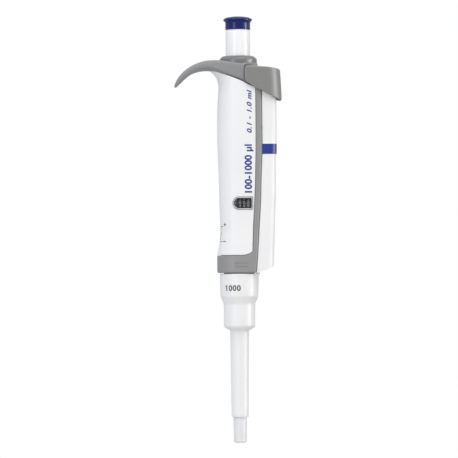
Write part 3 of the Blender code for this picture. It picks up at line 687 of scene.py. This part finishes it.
# The arm's closed bottom, and the block that joins it to the sleeve
foot_x = [10.15 + 9.6 * k / 24 for k in range(25)]
foot = prism("arm_foot", [(x, smooth(ARM_BOTTOM, x) + 0.15) for x in foot_x]
             + [(x, smooth(ARM_BOTTOM, x) + 1.5) for x in reversed(foot_x)], -9.0, 9.0, "Y")
foot.data.materials.append(WHITE)
cut(foot, [prism("foot_plan", filleted([(5, -9.0, 0), (19.6, -9.0, 4.6), (19.6, 9.0, 4.6), (5, 9.0, 0)], 12), 90, 110)],
    "INTERSECT")
foot.data.set_sharp_from_angle(angle=math.radians(38))
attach(foot, "ejector")
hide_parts("ejector_arm")

bm = bmesh.new()
made = bmesh.ops.create_cube(bm, size=1.0)
for v in made["verts"]:
    v.co = Vector((11.0 + 1.7 * v.co.x, 6.4 * v.co.y, 97.5 + 2.0 * v.co.z))
bmesh.ops.bevel(bm, geom=bm.edges[:], offset=0.25, segments=3, affect="EDGES", profile=0.5)
turned("ejector_sleeve_skin", [
    (11.2, 97.1, 0.35), (11.12, 92.0, 0), (10.85, 84.2, 1.4), (9.2, 80.1, 1.2), (9.05, 79.2, 0.5), (9.05, 67.2, 1.0),
    (8.4, 66.0, 0.8), (5.75, 64.7, 0.5), (5.42, 63.6, 0.5), (4.9, 16.2, 0.3), (4.82, 14.8, 0.5), (4.15, 14.75, 0.2),
    (4.25, 34.0, 0), (4.55, 64.7, 0), (8.2, 67.3, 0.4), (8.2, 80.2, 0.4), (9.6, 83.0, 0.4), (10.2, 85.0, 0.4),
    (10.3, 97.1, 0.2)],
    steps=128, bm=bm, body="ejector", replaces=["ejector_sleeve"], slot="white_shell", look=SLEEVE_WHITE)

turned("tip_cone_skin", [
    (1.2, 36.0, 0.1), (1.2, 23.2, 0.1), (3.6, 23.2, 0.2), (3.6, 21.4, 0.1), (3.3, 21.4, 0), (3.3, 17.3, 0),
    (3.85, 17.1, 0.2), (3.85, 14.0, 0), (3.78, 9.0, 0.3), (3.74, 8.7, 0.2), (3.66, 0.6, 0.5), (2.9, 0.0, 0.5),
    (1.7, 0.0, 0.2), (1.5, 1.0, 0.1), (0.6, 8.0, 0), (0.6, 36.0, 0)], steps=96, body="cone",
    replaces=["tip_cone"], slot="cloudy_plastic", look=CONE)

# ---------------------------------------------------------------- display


def raised_loop(name, loops, front, back, **to):
    """A frame between two outlines, (outer, inner), from depth `front` to `back` along Y."""
    bm = bmesh.new()
    outer, inner = loops
    rows = [[(x, back, z) for x, z in outer], [(x, front + 0.25, z) for x, z in outer],
            [(x * 0.985 + 0.03, front, z * 0.9985 + WINDOW_Z * 0.0015) for x, z in outer],
            [(x, front, z) for x, z in inner], [(x, back, z) for x, z in inner]]
    verts = grid(bm, rows, close_rows=True)
    for i in range(len(outer)):
        j = (i + 1) % len(outer)
        bm.faces.new((verts[-1][i], verts[-1][j], verts[0][j], verts[0][i]))
    return finish(name, bm, **to)


raised_loop("bezel_skin", (BEZEL_LOOP, GLASS_LOOP), -11.4, -9.95, body="housing",
            replaces=["window_bezel"], slot="cloudy_plastic", look=FRAME_CLEAR)
lens = prism("lens_skin", window_loop(-3.15, 6.95, 2.95, 0.45), -11.2, -10.3, "Y")
lens.data.materials.append(LENS)
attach(lens, "housing")
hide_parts("display_lens")


def lettering(text, height, bold=False, slant=0.0, spacing=1.0):
    """Flat letters of a given cap height as a bmesh, in mm, starting at the origin."""
    data = bpy.data.curves.new("letters", "FONT")
    data.body = text
    data.size = height / 0.72
    data.space_character = spacing
    data.shear = slant
    data.resolution_u = 5
    if bold:
        data.offset = height * 0.045
    obj = bpy.data.objects.new("letters", data)
    scene.collection.objects.link(obj)
    mesh = bpy.data.meshes.new_from_object(obj.evaluated_get(bpy.context.evaluated_depsgraph_get()))
    bpy.data.objects.remove(obj)
    bm = bmesh.new()
    bm.from_mesh(mesh)
    bmesh.ops.remove_doubles(bm, verts=bm.verts, dist=1e-4)
    long_edges = [e for e in bm.edges if e.calc_length() > 0.7]
    bmesh.ops.subdivide_edges(bm, edges=long_edges, cuts=2)
    bmesh.ops.triangulate(bm, faces=bm.faces)
    return bm


def width_of(bm):
    xs = [v.co.x for v in bm.verts]
    return min(xs), max(xs)


def printed(name, bm, where, body, look, slot):
    """Letters laid on a surface: where(u, v) gives the surface point for a point of the flat letters."""
    for v in bm.verts:
        v.co = Vector(where(v.co.x, v.co.y))
    finish(name, bm, body, (), slot, look)


def on_shell(x_base, z_start, lift=0.035):
    """Reading upward on the -Y face, letters' tops toward -X."""
    def where(u, v):
        x, z = x_base - v, z_start + u
        return x, -shell_depth_at(x, z) - lift, z
    return where


big = lettering("100-1000 µl", 4.0, bold=True, spacing=1.04)
low, high = width_of(big)
for v in big.verts:
    v.co.x = (v.co.x - low) * 27.6 / (high - low)
printed("range_print", big, on_shell(7.0, 143.4), "housing", BLUE_INK, "blue_plastic")
small = lettering("0.1 - 1.0 ml", 2.7, bold=True, slant=0.3, spacing=1.12)
low, high = width_of(small)
for v in small.verts:
    v.co.x = (v.co.x - low) * 24.8 / (high - low)
printed("range_print_small", small, on_shell(7.1, 177.6), "housing", BLUE_INK, "blue_plastic")


def round_surface(radius_at, x_middle, z_base, lift=0.035):
    """Upright letters wrapped round the plunger axis; x_middle is where their middle shows from -Y."""
    def where(u, v):
        z = z_base + v
        r = radius_at(z)
        a = math.asin(x_middle / r) + u / r
        return (r + lift) * math.sin(a), -(r + lift) * math.cos(a), z
    return where


mark = lettering("1000", 3.2, bold=True, spacing=1.12)
low, high = width_of(mark)
flag = [mark.verts.new((low + x, y, 0)) for x, y in ((0.1, 3.22), (-0.62, 2.66), (-0.62, 2.16), (0.1, 2.66))]
mark.faces.new(flag)
for v in mark.verts:
    v.co.x = (v.co.x - (low + high) / 2) * 9.0 / (high - low)
printed("capacity_print", mark, round_surface(lambda z: 10.85 + 0.27 * min(1, max(0, (z - 84.2) / 7.8)), -4.0, 87.35),
        "ejector", GREY_INK, "white_shell")

def shell_front(u, z, lift=0.035):
    """A point on the round -X face, u mm round from its middle toward -Y."""
    left, depth = smooth(SHELL_LEFT, z) - lift, smooth(SHELL_DEPTH, z) + lift
    a = u / 11.0
    return left * math.cos(a), -depth * math.sin(a), z


def patch(bm, u0, u1, z0, z1):
    grid(bm, [[shell_front(u0 + (u1 - u0) * i / 8, z) for i in range(9)] for z in (z0, z1)])


# The adjustment scale on the -X face: a minus to plus row of ticks with its end marks
bm = bmesh.new()
for k in range(9):
    z = 115.6 + 8.6 * k / 8
    reach = 5.9 if k in (0, 8) else (4.4 if k == 4 else 3.4)
    patch(bm, 2.2, reach, z - 0.17, z + 0.17)
    patch(bm, -reach, -2.2, z - 0.17, z + 0.17)
for side in (-1, 1):
    patch(bm, side * 7.6 - 1.0, side * 7.6 + 1.0, 124.95, 125.45)
    patch(bm, side * 7.6 - 0.25, side * 7.6 + 0.25, 124.2, 126.2)
    patch(bm, side * 7.6 - 1.0, side * 7.6 + 1.0, 115.35, 115.85)
finish("adjustment_print", bm, "housing", (), "white_shell", GREY_INK)

# Digits on the counter drums
drum_low, drum_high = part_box("wheel_thousands")
axle = own((drum_low + drum_high) / 2)
DRUM_R = (drum_high.z - drum_low.z) / 2 / MM
for name, start, step in (("thousands", 1, 1), ("hundreds", 0, 1), ("tens", 0, 1), ("units", 0, 2)):
    middle = own(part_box(f"wheel_{name}")[0])[0] + 0.85
    bm = bmesh.new()
    for k in range(10):
        glyph = lettering(str((start + step * k) % 10), 1.75)
        low, high = width_of(glyph)
        for v in glyph.verts:
            u = (v.co.x - (low + high) / 2) * 1.05
            a = 2 * math.pi * k / 10 + (v.co.y - 0.87) / DRUM_R
            r = DRUM_R + 0.03
            v.co = Vector((middle + u, axle[1] - r * math.cos(a), axle[2] + r * math.sin(a)))
        piece = bpy.data.meshes.new("glyph")
        glyph.to_mesh(piece)
        glyph.free()
        bm.from_mesh(piece)
    finish(f"digits_{name}", bm, f"{name}_wheel", (), "digit_drum", DIGIT)

# ---------------------------------------------------------------- studio

FLOOR_HALF, FLOOR_Z = 3000, -330
bm = bmesh.new()
grid(bm, [[(x, y, FLOOR_Z) for x in (-FLOOR_HALF, FLOOR_HALF)] for y in (-FLOOR_HALF, FLOOR_HALF)])
floor = finish("studio_floor", bm)
pale = Nodes("pale_floor")
pale.shader.inputs["Base Color"].default_value = (0.55, 0.55, 0.55, 1)
pale.shader.inputs["Roughness"].default_value = 0.9
pale.shader.inputs["Emission Color"].default_value = (1, 1, 1, 1)
pale.join(pale.add("LightPath"), "Is Camera Ray", pale.shader, "Emission Strength")
floor.data.materials.append(pale.material)

world = bpy.data.worlds.new("studio")
scene.world = world
world.use_nodes = True
tree = world.node_tree
tree.nodes.clear()


def world_node(kind, **values):
    return shader_node(tree, kind, **values)


def world_ramp(rows):
    """A colour ramp through (position, colour) rows."""
    ramp = world_node("ValToRGB")
    ramp.color_ramp.elements[0].position, ramp.color_ramp.elements[0].color = rows[0][0], (*rows[0][1], 1)
    ramp.color_ramp.elements[1].position, ramp.color_ramp.elements[1].color = rows[-1][0], (*rows[-1][1], 1)
    for position, colour in rows[1:-1]:
        ramp.color_ramp.elements.new(position).color = (*colour, 1)
    return ramp


# Light comes mostly from the middle of the room: the world is darker to both sides, in front and behind
direction, parts = world_node("TexCoord"), world_node("SeparateXYZ")
across = world_ramp([(0.0, (0.50, 0.53, 0.62)), (0.15, (0.62, 0.65, 0.72)), (0.36, (1, 1, 1)), (0.70, (1, 1, 1)),
                     (1.0, (0.62, 0.62, 0.615))])
along_y = world_ramp([(0.0, (0.42, 0.42, 0.42)), (0.10, (0.62, 0.62, 0.62)), (0.35, (1, 1, 1)), (0.7, (1, 1, 1)),
                      (1.0, (0.42, 0.42, 0.43))])
spread_x, spread_y = (world_node("MapRange", From_Min=-1.0, From_Max=1.0) for _ in range(2))
both = world_node("VectorMath", operation="MULTIPLY")
studio_light = world_node("Background", Strength=1.16)
backdrop = world_node("Background", Color=(1, 1, 1, 1), Strength=1.0)
path, mix, out = world_node("LightPath"), world_node("MixShader"), world_node("OutputWorld")
for a, b in ((direction.outputs["Generated"], parts.inputs[0]), (parts.outputs["X"], spread_x.inputs["Value"]),
             (parts.outputs["Y"], spread_y.inputs["Value"]), (spread_x.outputs["Result"], across.inputs["Fac"]),
             (spread_y.outputs["Result"], along_y.inputs["Fac"]), (across.outputs["Color"], both.inputs[0]),
             (along_y.outputs["Color"], both.inputs[1]), (both.outputs["Vector"], studio_light.inputs["Color"]),
             (path.outputs["Is Camera Ray"], mix.inputs["Fac"]), (studio_light.outputs[0], mix.inputs[1]),
             (backdrop.outputs[0], mix.inputs[2]), (mix.outputs[0], out.inputs["Surface"])):
    tree.links.new(a, b)


def softbox(name, azimuth, elevation, distance, size, radiance, only_gloss=False):
    """A soft light, azimuth measured from -Y toward +X, looking at the grip, of a given radiance."""
    data = bpy.data.lights.new(name, "AREA")
    data.shape, data.size, data.size_y = "RECTANGLE", size[0], size[1]
    data.energy = radiance * math.pi * size[0] * size[1]
    obj = bpy.data.objects.new(name, data)
    a, e = math.radians(azimuth), math.radians(elevation)
    target = place(0, 0, 130)
    obj.location = target + distance * Vector((math.sin(a) * math.cos(e), -math.cos(a) * math.cos(e), math.sin(e)))
    obj.rotation_euler = (target - obj.location).to_track_quat("-Z", "Y").to_euler()
    obj.visible_camera = False
    obj.visible_diffuse = not only_gloss
    scene.collection.objects.link(obj)


softbox("right_strip", 60, 0, 1.2, (0.20, 1.1), 2.2)
softbox("right_gleam", 78, 3, 1.2, (0.34, 1.1), 9.0, only_gloss=True)
softbox("left_softbox", -36, 2, 1.3, (0.42, 1.2), 2.8)
softbox("front_overhead", 8, 52, 1.5, (1.1, 0.8), 2.1)

# ---------------------------------------------------------------- camera

VIEW_W, VIEW_DISTANCE, VIEW_AZIMUTH, VIEW_HEIGHT, ROLL = 263.4, 1800.0, -2.0, 102.0, 0.36
TARGET_X, TARGET_Z = -5.75, 122.8
target = place(TARGET_X, 0, TARGET_Z)
a = math.radians(VIEW_AZIMUTH)
camera_data = bpy.data.cameras.new("camera")
camera_data.sensor_width = 36.0
camera_data.lens = 36.0 * VIEW_DISTANCE / VIEW_W
camera_data.clip_end = 20
camera = bpy.data.objects.new("camera", camera_data)
camera.location = target + Vector((VIEW_DISTANCE * math.sin(a) * MM, -VIEW_DISTANCE * math.cos(a) * MM,
                                   (VIEW_HEIGHT - TARGET_Z) * MM))
look = (target - camera.location).to_track_quat("-Z", "Y").to_matrix().to_4x4()
camera.rotation_euler = (look @ Matrix.Rotation(math.radians(-ROLL), 4, "Z")).to_euler()
scene.collection.objects.link(camera)
scene.camera = camera
scene.view_settings.view_transform = "Standard"
